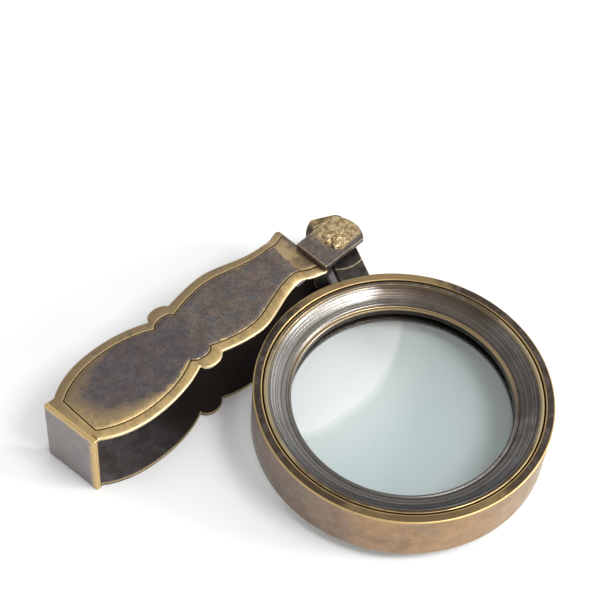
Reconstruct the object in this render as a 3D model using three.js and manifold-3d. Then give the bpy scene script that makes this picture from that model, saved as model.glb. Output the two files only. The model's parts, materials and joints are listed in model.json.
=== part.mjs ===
// Folding hand magnifier in aged brass.
// The handle is a channel: two violin-shaped plates joined by an end wall and open along both sides.
// The lens ring hangs on a short arm that turns on a riveted pin between two ears at the other end of
// the handle, so that the ring folds in between the plates.
// Millimetres, +Z up. The handle runs along +X towards the hinge and the ring opens towards -Y.

import * as THREE from 'three';
import { mergeVertices } from 'three/addons/utils/BufferGeometryUtils.js';
import Module from 'manifold-3d';

const wasm = await Module();
wasm.setup();

// Driving dimensions
const GAP = 0.3; // play between pieces that touch
const HANDLE_HEIGHT = 22.5; // outside, over both plates
const SHEET = 1.1; // plate thickness
const PLATE_END = 86.8; // where the rolled lips of the plates end
const BULGE = 13.45; // greatest half width of a plate
const SECOND_BULGE_NEAR = 12.75; // half width at the smaller bulge, on the -Y side
const SECOND_BULGE_FAR = 12; // and on the +Y side
const PLATE_START_HALF_WIDTH = 8.8;
const SQUARE_END = 3.4; // the plate is straight-sided up to here
const LIP_HALF_WIDTH = 10.2;
const LIP_CORNER = 1; // length of the cut-off corners of the lip
const LIP_CORNER_START = PLATE_END - LIP_CORNER;
const LIP_DROP = 1.9; // how far a plate is rolled inwards at the hinge end
const BEND_START = 77;
const BEND_END = 83.5;
const TONGUE_END = 89.8; // the lip runs on this far under the ear
const TONGUE_INSET = 1; // how much narrower than the ear it is
const TONGUE_TAPER = 0.6;

const WALL_THICKNESS = 1.3;
const WALL_HALF_WIDTH = 8.85;
const WALL_SKEW = 1.4; // the wall isn't quite square to the handle

const PIVOT = new THREE.Vector2(95.3, -4.3);
const PIN_RADIUS = 2.2;
const PIN_HEAD_RADIUS = 3.7;
const PIN_HEAD_HEIGHT = 0.75;
const EAR_START = 85.6;
const EAR_FAR = 5.9; // from the pin to the ear's edge on the +Y side
const EAR_NEAR = 5.5; // and on the -Y side
const EAR_END_RADIUS = 7.8;
const EAR_THICKNESS = 1.6;
const WASHER_RADIUS = 5;

const REST_ANGLE = THREE.MathUtils.degToRad(-116.3); // direction of the arm, open about 64 degrees
const REACH = 52.26; // pin to lens centre
const ARM_INNER = 5.5; // from the pin to the arm's side next to the handle
const ARM_INNER_TOP = 3.5; // and to the edge of its top there
const ARM_OUTER = 6.2; // the same on its other side
const ARM_OUTER_TOP = 5.6;
const ARM_SHOULDER = 2.8; // height of the sloping shoulders of the arm
const ARM_TAIL = 10.9;
const TAIL_CORNER = 3;

const FRAME_RADIUS = 40;
const FRAME_THICKNESS = 15.5;
const FRAME_BORE = 37.6;
const FRAME_EDGE = 0.6; // chamfer on the outside edges of the frame
const RIB_BORE = 35;
const RIB_HALF_HEIGHT = 1.7;
const RETAINER_BORE = 36.1;
const RETAINER_DEPTH = 3.2;
const BEZEL_OPENING = 29.7;
const BEZEL_DISH = 3.4; // depth of the dish at its inner lip
const LENS_RADIUS = RIB_BORE - GAP;
const LENS_EDGE = 1.5; // half thickness at the edge
const LENS_CENTRE = 3.9; // half thickness in the middle

const RING_SEGMENTS = 80;
const SMALL_SEGMENTS = 32;
const MID_HEIGHT = HANDLE_HEIGHT / 2;

// Materials
function brass(name, color, roughness) {
  return new THREE.MeshStandardMaterial({ name, color, roughness, metalness: 0.9 });
}
const PATINA = ['patina_brass', 0x6b5f58, 0.5];
const WORN = ['worn_brass', 0xb59a63, 0.42];
const TURNED = ['turned_brass', 0x8f8577, 0.3];
const PIN_BRASS = ['pin_brass', 0xa88c55, 0.6];

function glass() {
  return new THREE.MeshStandardMaterial({
    name: 'lens_glass', color: 0xdfe8e6, roughness: 0.05, metalness: 0, transparent: true, opacity: 0.45,
  });
}

// Solid modelling helpers
function toSolid(geometry) {
  const bare = geometry.index ? geometry.toNonIndexed() : geometry.clone();
  bare.deleteAttribute('normal');
  bare.deleteAttribute('uv');
  const merged = mergeVertices(bare, 1e-4);
  return new wasm.Manifold(new wasm.Mesh({
    numProp: 3,
    vertProperties: new Float32Array(merged.attributes.position.array),
    triVerts: new Uint32Array(merged.index.array),
  }));
}

function toGeometry(solid) {
  const mesh = solid.getMesh();
  const geometry = new THREE.BufferGeometry();
  geometry.setAttribute('position', new THREE.BufferAttribute(new Float32Array(mesh.vertProperties), 3));
  geometry.setIndex(new THREE.BufferAttribute(new Uint32Array(mesh.triVerts), 1));
  geometry.computeVertexNormals();
  return geometry;
}

function prism(shape, bottom, top, curveSegments = 12) {
  const options = { depth: top - bottom, bevelEnabled: false, curveSegments };
  return new THREE.ExtrudeGeometry(shape, options).translate(0, 0, bottom);
}

// A prism along X whose section is drawn with x as the part's Y and y as its Z.
function barAlongX(section, start, end) {
  const geometry = prism(section, start, end);
  const turn = new THREE.Matrix4().makeBasis(
    new THREE.Vector3(0, 1, 0), new THREE.Vector3(0, 0, 1), new THREE.Vector3(1, 0, 0));
  return geometry.applyMatrix4(turn);
}

// A prism along Y whose section is drawn with x as the part's X and y as its Z.
function barAlongY(section, halfLength) {
  return prism(section, -halfLength, halfLength).rotateX(Math.PI / 2);
}

function turned(profile, segments) {
  const points = profile.map(([radius, height]) => new THREE.Vector2(radius, height));
  return new THREE.LatheGeometry(points, segments).rotateX(Math.PI / 2);
}

function disc(radius, bottom, top, segments = SMALL_SEGMENTS) {
  return turned([[0, bottom], [radius, bottom], [radius, top], [0, top]], segments);
}

// A copy for the other side of the middle plane, with its faces turned out again.
function mirroredAbout(solid, height) {
  return solid.mirror([0, 0, 1]).translate([0, 0, 2 * height]);
}

function piece(name, geometry, [materialName, color, roughness]) {
  const mesh = new THREE.Mesh(geometry, brass(materialName, color, roughness));
  mesh.name = name;
  return mesh;
}

// Handle
// One edge of the plate from the end wall to the lip, drawn for side = +1 or -1. The second bulge of the
// hand-cut outline is a little fuller on the -Y side.
function edgeCurves(side) {
  const point = (x, y) => new THREE.Vector2(x, side * y);
  const bulge = side > 0 ? SECOND_BULGE_FAR : SECOND_BULGE_NEAR;
  const wallCorner = point(SQUARE_END, PLATE_START_HALF_WIDTH);
  const lipCorner = point(LIP_CORNER_START, LIP_HALF_WIDTH);
  return [
    new THREE.CubicBezierCurve(wallCorner, point(7.5, 11.8), point(13, BULGE), point(20, BULGE)),
    new THREE.CubicBezierCurve(point(20, BULGE), point(27, BULGE), point(33, 12), point(37.4, 10)),
    new THREE.QuadraticBezierCurve(point(37.4, 10), point(37.8, 11.8), point(39.8, 12.2)),
    new THREE.QuadraticBezierCurve(point(39.8, 12.2), point(43.1, 12.7), point(45, 10.5)),
    new THREE.CubicBezierCurve(point(45, 10.5), point(49.5, bulge - 0.7), point(54, bulge), point(57.5, bulge)),
    new THREE.CubicBezierCurve(point(57.5, bulge), point(63.5, bulge), point(69.5, 8.3), point(76.8, 8)),
    new THREE.CubicBezierCurve(point(76.8, 8), point(80.5, 8), point(83, 9.4), lipCorner),
  ];
}

function plateOutline() {
  const start = WALL_THICKNESS + GAP;
  const near = edgeCurves(-1).flatMap((curve) => curve.getPoints(7).slice(0, -1));
  const far = edgeCurves(1).flatMap((curve) => curve.getPoints(7).slice(0, -1));
  const tongueLow = PIVOT.y - EAR_NEAR + TONGUE_INSET;
  const tongueHigh = PIVOT.y + EAR_FAR - TONGUE_INSET;
  const points = [
    new THREE.Vector2(start, PLATE_START_HALF_WIDTH),
    new THREE.Vector2(start + WALL_SKEW, -PLATE_START_HALF_WIDTH),
    ...near,
    new THREE.Vector2(LIP_CORNER_START, -LIP_HALF_WIDTH),
    new THREE.Vector2(PLATE_END, LIP_CORNER - LIP_HALF_WIDTH),
    new THREE.Vector2(PLATE_END, tongueLow),
    new THREE.Vector2(TONGUE_END, tongueLow + TONGUE_TAPER),
    new THREE.Vector2(TONGUE_END, tongueHigh - TONGUE_TAPER),
    new THREE.Vector2(PLATE_END, tongueHigh),
    new THREE.Vector2(PLATE_END, LIP_HALF_WIDTH - LIP_CORNER),
    new THREE.Vector2(LIP_CORNER_START, LIP_HALF_WIDTH),
    ...far.reverse(),
  ];
  return new THREE.Shape(points);
}

// Side view of the upper plate: flat, then rolled down to a flat lip.
function plateSideView() {
  const drop = (x) => {
    const t = THREE.MathUtils.clamp((x - BEND_START) / (BEND_END - BEND_START), 0, 1);
    return LIP_DROP * (1 - Math.cos(Math.PI * t)) / 2;
  };
  const stations = [-1];
  for (let i = 0; i <= 6; i += 1) stations.push(THREE.MathUtils.lerp(BEND_START, BEND_END, i / 6));
  stations.push(TONGUE_END + 1);
  const top = stations.map((x) => new THREE.Vector2(x, HANDLE_HEIGHT - drop(x)));
  const underside = top.map((p) => new THREE.Vector2(p.x, p.y - SHEET)).reverse();
  return new THREE.Shape([...top, ...underside]);
}

function upperPlate() {
  const outline = toSolid(prism(plateOutline(), 0, HANDLE_HEIGHT + 1));
  return toSolid(barAlongY(plateSideView(), BULGE + 2)).intersect(outline);
}

function endWall() {
  const shape = new THREE.Shape([
    new THREE.Vector2(0, WALL_HALF_WIDTH),
    new THREE.Vector2(WALL_SKEW, -WALL_HALF_WIDTH),
    new THREE.Vector2(WALL_SKEW + WALL_THICKNESS, -WALL_HALF_WIDTH),
    new THREE.Vector2(WALL_THICKNESS, WALL_HALF_WIDTH),
  ]);
  return prism(shape, 0, HANDLE_HEIGHT);
}

// Hinge
function ear(bottom, top) {
  const corner = (halfWidth) => Math.asin(halfWidth / EAR_END_RADIUS);
  const shape = new THREE.Shape();
  shape.moveTo(EAR_START, PIVOT.y + EAR_FAR);
  shape.lineTo(EAR_START, PIVOT.y - EAR_NEAR);
  shape.absarc(PIVOT.x, PIVOT.y, EAR_END_RADIUS, -corner(EAR_NEAR), corner(EAR_FAR), false);
  shape.holes.push(new THREE.Path().absarc(PIVOT.x, PIVOT.y, PIN_RADIUS + GAP, 0, 2 * Math.PI, true));
  return prism(shape, bottom, top, 16);
}

function washer(bottom, top) {
  const bore = PIN_RADIUS + GAP;
  const profile = [[bore, bottom], [WASHER_RADIUS, bottom], [WASHER_RADIUS, top], [bore, top], [bore, bottom]];
  return turned(profile, SMALL_SEGMENTS).translate(PIVOT.x, PIVOT.y, 0);
}

function rivet() {
  const seat = HANDLE_HEIGHT + GAP;
  const profile = [
    [0, 0], [PIN_RADIUS, 0], [PIN_RADIUS, seat], [PIN_HEAD_RADIUS, seat],
    [PIN_HEAD_RADIUS - 0.3, seat + PIN_HEAD_HEIGHT * 0.6],
    [PIN_HEAD_RADIUS * 0.6, seat + PIN_HEAD_HEIGHT],
    [0, seat + PIN_HEAD_HEIGHT],
  ];
  return turned(profile, SMALL_SEGMENTS).translate(PIVOT.x, PIVOT.y, 0);
}

// Lens arm, in its own frame: the pin on the Z axis and the lens along +X.
const ARM_HEIGHT = FRAME_THICKNESS;

function armSection() {
  const half = ARM_HEIGHT / 2;
  const corners = [
    [ARM_OUTER_TOP, half], [ARM_OUTER, half - ARM_SHOULDER],
    [ARM_OUTER, ARM_SHOULDER - half], [ARM_OUTER_TOP, -half],
    [-ARM_INNER_TOP, -half], [-ARM_INNER, ARM_SHOULDER - half],
    [-ARM_INNER, half - ARM_SHOULDER], [-ARM_INNER_TOP, half],
  ];
  return new THREE.Shape(corners.map(([y, z]) => new THREE.Vector2(y, z + MID_HEIGHT)));
}

function armPlan() {
  const spare = 1;
  const tail = TAIL_CORNER - ARM_TAIL;
  const shape = new THREE.Shape();
  shape.moveTo(REACH, -ARM_INNER - spare);
  shape.lineTo(REACH, ARM_OUTER + spare);
  shape.lineTo(tail, ARM_OUTER + spare);
  shape.lineTo(tail, ARM_OUTER);
  shape.absarc(tail, ARM_OUTER - TAIL_CORNER, TAIL_CORNER, Math.PI / 2, Math.PI, false);
  shape.absarc(tail, TAIL_CORNER - ARM_INNER, TAIL_CORNER, Math.PI, 1.5 * Math.PI, false);
  shape.lineTo(tail, -ARM_INNER - spare);
  return shape;
}

function lensArm() {
  const bar = toSolid(barAlongX(armSection(), -ARM_TAIL - 1, REACH));
  const plan = toSolid(prism(armPlan(), 0, HANDLE_HEIGHT, 6));
  const ring = toSolid(disc(FRAME_RADIUS + GAP, -1, HANDLE_HEIGHT + 1, RING_SEGMENTS).translate(REACH, 0, 0));
  const bore = toSolid(disc(PIN_RADIUS + GAP, -1, HANDLE_HEIGHT + 1));
  return toGeometry(bar.intersect(plan).subtract(ring).subtract(bore));
}

// Lens ring: every profile is drawn about the ring's middle plane, for the upper side where it has two.
const FACE = FRAME_THICKNESS / 2;

function frameProfile() {
  return [
    [FRAME_BORE, -FACE], [FRAME_RADIUS - FRAME_EDGE, -FACE], [FRAME_RADIUS, FRAME_EDGE - FACE],
    [FRAME_RADIUS, FACE - FRAME_EDGE], [FRAME_RADIUS - FRAME_EDGE, FACE], [FRAME_BORE, FACE],
    [FRAME_BORE, RIB_HALF_HEIGHT], [RIB_BORE, RIB_HALF_HEIGHT],
    [RIB_BORE, -RIB_HALF_HEIGHT], [FRAME_BORE, -RIB_HALF_HEIGHT], [FRAME_BORE, -FACE],
  ];
}

function retainerProfile() {
  const outside = FRAME_BORE - GAP;
  const top = FACE - 0.2;
  return [
    [RETAINER_BORE, FACE - RETAINER_DEPTH], [outside, FACE - RETAINER_DEPTH], [outside, top - 0.4],
    [outside - 0.4, top], [RETAINER_BORE + 0.3, top], [RETAINER_BORE, top - 0.3],
    [RETAINER_BORE, FACE - RETAINER_DEPTH],
  ];
}

function bezelProfile() {
  const seat = RIB_HALF_HEIGHT + GAP;
  const shoulder = FACE - RETAINER_DEPTH - GAP;
  const outside = FRAME_BORE - GAP;
  const rim = RETAINER_BORE - GAP;
  const lip = FACE - BEZEL_DISH;
  return [
    [BEZEL_OPENING, seat + 0.5], [RIB_BORE - 1, seat], [outside, seat], [outside, shoulder],
    [rim, shoulder], [rim, FACE - 0.6], [rim - 0.5, FACE - 0.5],
    [rim - 1.6, FACE - 1.2], [BEZEL_OPENING + 1.1, lip - 0.3], [BEZEL_OPENING + 0.7, lip],
    [BEZEL_OPENING, lip - 0.2], [BEZEL_OPENING, seat + 0.5],
  ];
}

function lensProfile() {
  const sag = LENS_CENTRE - LENS_EDGE;
  const surface = (radius) => LENS_CENTRE - sag * (radius / LENS_RADIUS) ** 2;
  const steps = 8;
  const upper = [];
  for (let i = steps; i >= 0; i -= 1) {
    const radius = LENS_RADIUS * i / steps;
    upper.push([radius, surface(radius)]);
  }
  const lower = upper.map(([radius, height]) => [radius, -height]).reverse();
  return [...lower, ...upper];
}

const flipped = (profile) => profile.map(([radius, height]) => [radius, -height]).reverse();

function ringPiece(name, profile, material) {
  const mesh = piece(name, turned(profile, RING_SEGMENTS), material);
  mesh.position.set(REACH, 0, MID_HEIGHT);
  return mesh;
}

function lensMesh() {
  const mesh = ringPiece('lens', lensProfile(), TURNED);
  mesh.material = glass();
  return mesh;
}

// Assembly
const handle = new THREE.Group();
const plate = upperPlate();
const earBottom = HANDLE_HEIGHT - EAR_THICKNESS;
const armTop = MID_HEIGHT + ARM_HEIGHT / 2;
handle.add(
  piece('handle_plate_upper', toGeometry(plate), PATINA),
  piece('handle_plate_lower', toGeometry(mirroredAbout(plate, MID_HEIGHT)), PATINA),
  piece('handle_end_wall', endWall(), PATINA),
  piece('hinge_ear_upper', ear(earBottom, HANDLE_HEIGHT), PATINA),
  piece('hinge_ear_lower', ear(0, EAR_THICKNESS), PATINA),
  piece('hinge_washer_upper', washer(armTop + GAP, earBottom - GAP), WORN),
  piece('hinge_washer_lower', washer(EAR_THICKNESS + GAP, HANDLE_HEIGHT - armTop - GAP), WORN),
  piece('hinge_rivet', rivet(), PIN_BRASS),
);

const lensUnit = new THREE.Group();
lensUnit.position.set(PIVOT.x, PIVOT.y, 0);
lensUnit.rotation.z = REST_ANGLE;
lensUnit.add(
  piece('lens_arm', lensArm(), PATINA),
  ringPiece('lens_frame', frameProfile(), WORN),
  ringPiece('retaining_ring_upper', retainerProfile(), WORN),
  ringPiece('retaining_ring_lower', flipped(retainerProfile()), WORN),
  ringPiece('bezel_upper', bezelProfile(), TURNED),
  ringPiece('bezel_lower', flipped(bezelProfile()), TURNED),
  lensMesh(),
);

// The origin is under the middle of the whole magnifier as it lies open.
const lensCentre = new THREE.Vector2(REACH, 0).rotateAround(new THREE.Vector2(), REST_ANGLE).add(PIVOT);
const magnifier = new THREE.Group();
magnifier.add(handle, lensUnit);
magnifier.position.set(-(lensCentre.x + FRAME_RADIUS) / 2, -(BULGE + lensCentre.y - FRAME_RADIUS) / 2, 0);

const root = new THREE.Group();
root.add(magnifier);

export default root;
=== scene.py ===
"""The looks of a folding hand magnifier in aged brass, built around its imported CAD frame.

Lengths are in metres. MM turns the sizes of the shapes, which are given in millimetres, into metres.
"""
import json
import math

import bmesh
import bpy
import numpy as np
from mathutils import Matrix, Quaternion, Vector, noise


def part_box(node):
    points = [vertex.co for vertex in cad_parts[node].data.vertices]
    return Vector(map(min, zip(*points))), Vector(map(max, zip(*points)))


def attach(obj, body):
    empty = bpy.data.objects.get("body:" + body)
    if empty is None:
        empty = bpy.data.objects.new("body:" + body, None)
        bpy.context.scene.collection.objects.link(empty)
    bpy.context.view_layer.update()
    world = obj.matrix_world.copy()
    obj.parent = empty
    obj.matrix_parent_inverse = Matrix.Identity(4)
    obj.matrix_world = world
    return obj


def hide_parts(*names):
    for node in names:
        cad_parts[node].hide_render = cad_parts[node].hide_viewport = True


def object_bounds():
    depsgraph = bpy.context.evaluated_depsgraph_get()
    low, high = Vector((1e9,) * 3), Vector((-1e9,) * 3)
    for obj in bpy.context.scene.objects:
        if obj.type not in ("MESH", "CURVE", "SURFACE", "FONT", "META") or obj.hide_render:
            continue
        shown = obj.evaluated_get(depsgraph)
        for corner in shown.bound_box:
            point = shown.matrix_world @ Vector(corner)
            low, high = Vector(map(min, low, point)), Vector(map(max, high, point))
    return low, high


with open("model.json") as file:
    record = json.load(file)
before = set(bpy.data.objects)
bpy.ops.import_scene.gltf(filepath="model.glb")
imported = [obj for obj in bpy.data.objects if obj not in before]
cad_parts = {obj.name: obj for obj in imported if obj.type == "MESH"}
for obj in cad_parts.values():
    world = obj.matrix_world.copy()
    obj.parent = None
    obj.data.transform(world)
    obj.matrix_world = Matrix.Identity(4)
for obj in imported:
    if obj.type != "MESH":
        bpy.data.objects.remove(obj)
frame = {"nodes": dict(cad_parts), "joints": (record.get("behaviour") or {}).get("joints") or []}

MM = 0.001
cad_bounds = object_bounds()


def add_object(name, data):
    item = bpy.data.objects.new(name, data)
    bpy.context.collection.objects.link(item)
    return item


# Places that the frame gives
PLATE_LOW, PLATE_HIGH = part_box("handle_plate_upper")
WALL_LOW, WALL_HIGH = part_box("handle_end_wall")
FRAME_LOW, FRAME_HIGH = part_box("lens_frame")
HANDLE_ORIGIN = Vector((WALL_LOW.x, (PLATE_LOW.y + PLATE_HIGH.y) / 2, 0))
HANDLE_TOP = WALL_HIGH.z
PIVOT = Vector(frame["joints"][0]["pos_m"])
RING_CENTRE = (FRAME_LOW + FRAME_HIGH) / 2
RING_RADIUS = (FRAME_HIGH.x - FRAME_LOW.x) / 2
RING_FACE = (FRAME_HIGH.z - FRAME_LOW.z) / 2
ARM_DIRECTION = RING_CENTRE - PIVOT
ARM_ANGLE = math.atan2(ARM_DIRECTION.y, ARM_DIRECTION.x)

# Horizontal directions from the ring's middle
DARK_SIDE = (-0.64, 0.77)  # where its wall is darkest
DARK_AXIS = (-0.82, 0.57)  # its face is darkest at both ends of this line
RETAINER_AXIS = (0.57, 0.82)  # and the retaining rings at both ends of this one
BROWN_SIDE = (0.99, -0.12)  # where the dish is brownest
SHADED_PATCH_SIDE = (0.907, -0.414)  # the side of the dish's patch of painted shade
UNLIT_SIDE = (-0.03, 1)  # and of its painted shade beside the highlight
NEAR_SIDE = (-0.77, -0.64)  # where there is no bare brass


# ---- camera

# Angles in degrees; the lens in millimetres, for a sensor 36 mm wide
VIEW_AZIMUTH = -50.13
VIEW_ELEVATION = 51.75
VIEW_ROLL = 5.16
VIEW_DISTANCE = 461.4 * MM
VIEW_LENS = 95.8
VIEW_TARGET = Vector((29.5, 37.4, 0)) * MM


def make_camera():
    data = bpy.data.cameras.new("camera")
    data.sensor_width = 36
    data.lens = VIEW_LENS
    data.clip_start, data.clip_end = 0.02, 20
    camera = add_object("camera", data)
    azimuth, elevation = math.radians(VIEW_AZIMUTH), math.radians(VIEW_ELEVATION)
    back = Vector((math.sin(azimuth) * math.cos(elevation), -math.cos(azimuth) * math.cos(elevation),
                   math.sin(elevation)))
    camera.rotation_mode = "QUATERNION"
    camera.location = VIEW_TARGET + back * VIEW_DISTANCE
    roll = Quaternion((0, 0, 1), math.radians(VIEW_ROLL))
    camera.rotation_quaternion = (-back).to_track_quat("-Z", "Y") @ roll
    bpy.context.scene.camera = camera


make_camera()
bpy.context.scene.view_settings.view_transform = "Standard"


# ---- material helpers

class Tree:
    """A node tree that is written as nested calls; an input is a number, a colour or another output."""

    def __init__(self, name):
        self.material = bpy.data.materials.new(name)
        self.material.use_nodes = True
        self.nodes = self.material.node_tree.nodes
        self.links = self.material.node_tree.links
        self.nodes.clear()

    def add(self, kind, inputs=None, output=0, **settings):
        node = self.nodes.new("ShaderNode" + kind)
        for key, value in settings.items():
            setattr(node, key, value)
        for key, value in (inputs or {}).items():
            if isinstance(value, bpy.types.NodeSocket):
                self.links.new(value, node.inputs[key])
            else:
                node.inputs[key].default_value = value
        return node.outputs[output]

    def math(self, operation, a, b=0.0, clamp=False):
        return self.add("Math", {0: a, 1: b}, operation=operation, use_clamp=clamp)

    def times(self, a, b, clamp=False):
        return self.math("MULTIPLY", a, b, clamp)

    def plus(self, a, b):
        return self.math("ADD", a, b)

    def minus(self, a, b, clamp=False):
        return self.math("SUBTRACT", a, b, clamp)

    def larger(self, a, b, clamp=False):
        return self.math("MAXIMUM", a, b, clamp)

    def size(self, a):
        return self.math("ABSOLUTE", a)

    def wobble(self, noise_value, amount):
        """A noise about zero, amount from end to end, which makes a straight border wander."""
        return self.times(self.minus(noise_value, 0.5), amount)

    def within(self, value, middle, margin):
        """1 where value is within margin of middle, 0 elsewhere."""
        return self.add("Math", {0: value, 1: middle, 2: margin}, operation="COMPARE")

    def fade(self, value, start, end, low=0, high=1):
        """Goes smoothly from low to high while value goes from start to end."""
        inputs = {"Value": value, "From Min": start, "From Max": end, "To Min": low, "To Max": high}
        return self.add("MapRange", inputs, interpolation_type="SMOOTHSTEP")

    def mix(self, factor, a, b):
        return self.add("Mix", {0: factor, 6: a, 7: b}, output=2, data_type="RGBA")

    def local(self):
        return self.add("TexCoord", output=3)

    def noise(self, scale, detail=4, roughness=0.55, vector=None, distortion=0.0):
        inputs = {"Scale": scale, "Detail": detail, "Roughness": roughness, "Distortion": distortion}
        inputs["Vector"] = vector or self.local()
        return self.add("TexNoise", inputs)

    def attribute(self, name):
        return self.add("Attribute", output=2, attribute_name=name)

    def axis(self, index):
        return self.add("SeparateXYZ", {0: self.local()}, output=index)

    def facing(self, index):
        """How far the surface faces along an axis, from -1 to 1."""
        return self.add("SeparateXYZ", {0: self.add("NewGeometry", output=1)}, output=index)

    def vector(self, operation, a, b=(0, 0, 0), output=0):
        return self.add("VectorMath", {0: a, 1: b}, output, operation=operation)

    def shifted(self, offset):
        """The piece's own coordinates, moved so that one noise differs from another."""
        return self.vector("ADD", self.local(), offset)

    def radius(self, x=0, y=0):
        """Distance from the piece's own Z axis, or from a line parallel to it."""
        flat = self.vector("MULTIPLY", self.shifted((-x, -y, 0)), (1, 1, 0))
        return self.vector("LENGTH", flat, output=1)

    def towards(self, direction):
        """How far a point lies from the origin in a horizontal direction."""
        return self.vector("DOT_PRODUCT", self.local(), (*direction, 0), output=1)

    def brushed(self, scale, stretch):
        """Fine scratches, drawn out along the axes whose stretch is small."""
        return self.noise(scale, 3.0, 0.6, self.vector("MULTIPLY", self.local(), stretch))

    def turning_marks(self, scale):
        """Concentric tool marks: noise that depends mostly on the distance from the axis."""
        spread = self.add("CombineXYZ", {0: self.radius(), 1: self.times(self.axis(2), 0.5)})
        return self.noise(scale, 4.0, 0.7, spread)

    def edges(self, width):
        """1 on the sharp edges of the piece, 0 on its flats."""
        soft = self.add("Bevel", {"Radius": width}, samples=6)
        flat = self.add("NewGeometry", output=1)
        return self.fade(self.vector("DOT_PRODUCT", soft, flat, output=1), 0.995, 0.86)

    def bump(self, height, strength, distance):
        return self.add("Bump", {"Strength": strength, "Distance": distance, "Height": height})

    def finish(self, colour, metallic, roughness, normal, **more):
        inputs = {"Base Color": colour, "Metallic": metallic, "Roughness": roughness, "Normal": normal}
        return self.finish_with(self.add("BsdfPrincipled", {**inputs, **more}))

    def finish_worn(self, colour, wear, roughness, normal):
        """Patina is a little less metallic than the brass that shows where it's worn."""
        return self.finish(colour, self.fade(wear, 0, 1, 0.8), roughness, normal)

    def finish_with(self, shader):
        node = self.nodes.new("ShaderNodeOutputMaterial")
        self.links.new(shader, node.inputs["Surface"])
        return self.material


# Colours, linear
WHITE = (1, 1, 1, 1)
PATINA_DARK = (0.05, 0.041, 0.037, 1)
PATINA_MID = (0.125, 0.102, 0.092, 1)
PATINA_LIGHT = (0.215, 0.173, 0.146, 1)
PATINA_BLUE = (0.12, 0.123, 0.14, 1)
PATINA_RED = (0.2, 0.132, 0.098, 1)
PANEL_DARKER = (0.062, 0.056, 0.08, 1)
INSIDE_DARK = (0.105, 0.088, 0.084, 1)
INSIDE_GREY = (0.21, 0.19, 0.19, 1)
SHADE_BLACK = (0.02, 0.014, 0.011, 1)
LINE_BLACK = (0.012, 0.009, 0.007, 1)
WALL_GREY = (0.4, 0.382, 0.388, 1)
ARM_DARK = (0.034, 0.029, 0.026, 1)
ARM_LIGHT = (0.085, 0.073, 0.064, 1)
SHOULDER_HIGHLIGHT = (0.34, 0.325, 0.345, 1)
BEATEN_DARK = (0.32, 0.215, 0.105, 1)
BEATEN_LIGHT = (0.66, 0.53, 0.3, 1)
PIT_BROWN = (0.06, 0.036, 0.02, 1)
BRASS_BROWN = (0.3, 0.2, 0.1, 1)
BRASS_OLIVE = (0.42, 0.31, 0.15, 1)
BRASS_FAR = (0.29, 0.215, 0.13, 1)
BRASS_FACE = (0.35, 0.245, 0.115, 1)
BRASS_WORN = (0.66, 0.47, 0.21, 1)
BRASS_CREST = (0.5, 0.37, 0.21, 1)
BRASS_BRIGHT = (0.9, 0.76, 0.5, 1)
RING_WALL = (0.46, 0.285, 0.145, 1)
BLOTCH_OLIVE = (0.25, 0.2, 0.14, 1)
FACE_STAIN = (0.1, 0.066, 0.036, 1)
RETAINER_FACE = (0.46, 0.41, 0.29, 1)
WASHER_WALL = (0.03, 0.02, 0.012, 1)
WASHER_EDGE = (0.06, 0.04, 0.02, 1)
TURNED_DARK = (0.15, 0.145, 0.14, 1)
TURNED_LIGHT = (0.4, 0.385, 0.37, 1)
POLISHED_HIGHLIGHT = (0.7, 0.68, 0.64, 1)
TRACK_DARK = (0.06, 0.055, 0.052, 1)
TRACK_LIGHT = (0.66, 0.64, 0.6, 1)
STAIN_BROWN = (0.15, 0.105, 0.062, 1)
DISH_SHADE = (0.065, 0.068, 0.075, 1)
DISH_BRASS = (0.55, 0.48, 0.32, 1)
DISH_UNLIT = (0.1, 0.088, 0.076, 1)
DISH_SHADED_PATCH = (0.07, 0.044, 0.024, 1)
DISH_INNER = (0.11, 0.088, 0.066, 1)
DISH_BORE_SHADE = (0.05, 0.04, 0.033, 1)
GLASS_CLEAR = (0.94, 0.96, 0.955, 1)
GLASS_SHADED_PALE = (0.73, 0.785, 0.775, 1)
GLASS_SHADED_GREEN = (0.63, 0.71, 0.705, 1)
GLASS_SHADOW = (0.9, 0.925, 0.925, 1)
FLOOR_WHITE = (0.93, 0.93, 0.93, 1)
# Outside a circle about this point, from the lens's centre, the lens is painted in shade
SHADE_ARC_CENTRE = (-8.8 * MM, 52.4 * MM)
SHADE_ARC_RADIUS = 45 * MM
EDGE_WIDTH = 0.5 * MM  # how far from an edge its wear reaches
BEYOND_RINGS = 1  # a radius that no ring reaches


def patina_colour(tree):
    clouds = tree.noise(260, 6, 0.68)
    tint = tree.noise(170, 5, 0.66, tree.shifted((0.3, 0.1, 0.2)))
    specks = tree.noise(1300, 4, 0.75)
    base = tree.mix(tree.fade(clouds, 0.35, 0.66), PATINA_MID, PATINA_LIGHT)
    base = tree.mix(tree.fade(tint, 0.5, 0.68, 0, 0.75), base, PATINA_BLUE)
    base = tree.mix(tree.fade(tint, 0.48, 0.34, 0, 0.6), base, PATINA_RED)
    return tree.mix(tree.fade(specks, 0.46, 0.7, 0, 0.8), base, PATINA_DARK)


def inside_grime_and_shade(tree, deep):
    """The plates and the wall inside the handle: clouded grime with painted shade over it; deep is 1 where
    the painted shade makes it almost black.
    """
    clouds = tree.noise(210, 6, 0.72, tree.shifted((0.1, 0.4, 0)))
    grime = tree.mix(tree.fade(clouds, 0.36, 0.7), INSIDE_DARK, INSIDE_GREY)
    return tree.mix(deep, grime, SHADE_BLACK)


# What each point of a plate carries: its distance from the edge and from the engraved line, 1 inside that
# line, 1 on the outside, and its distance from the wall end
PLATE_ATTRIBUTES = ("edge_mm", "line_mm", "panel", "outside", "end_mm")


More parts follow.
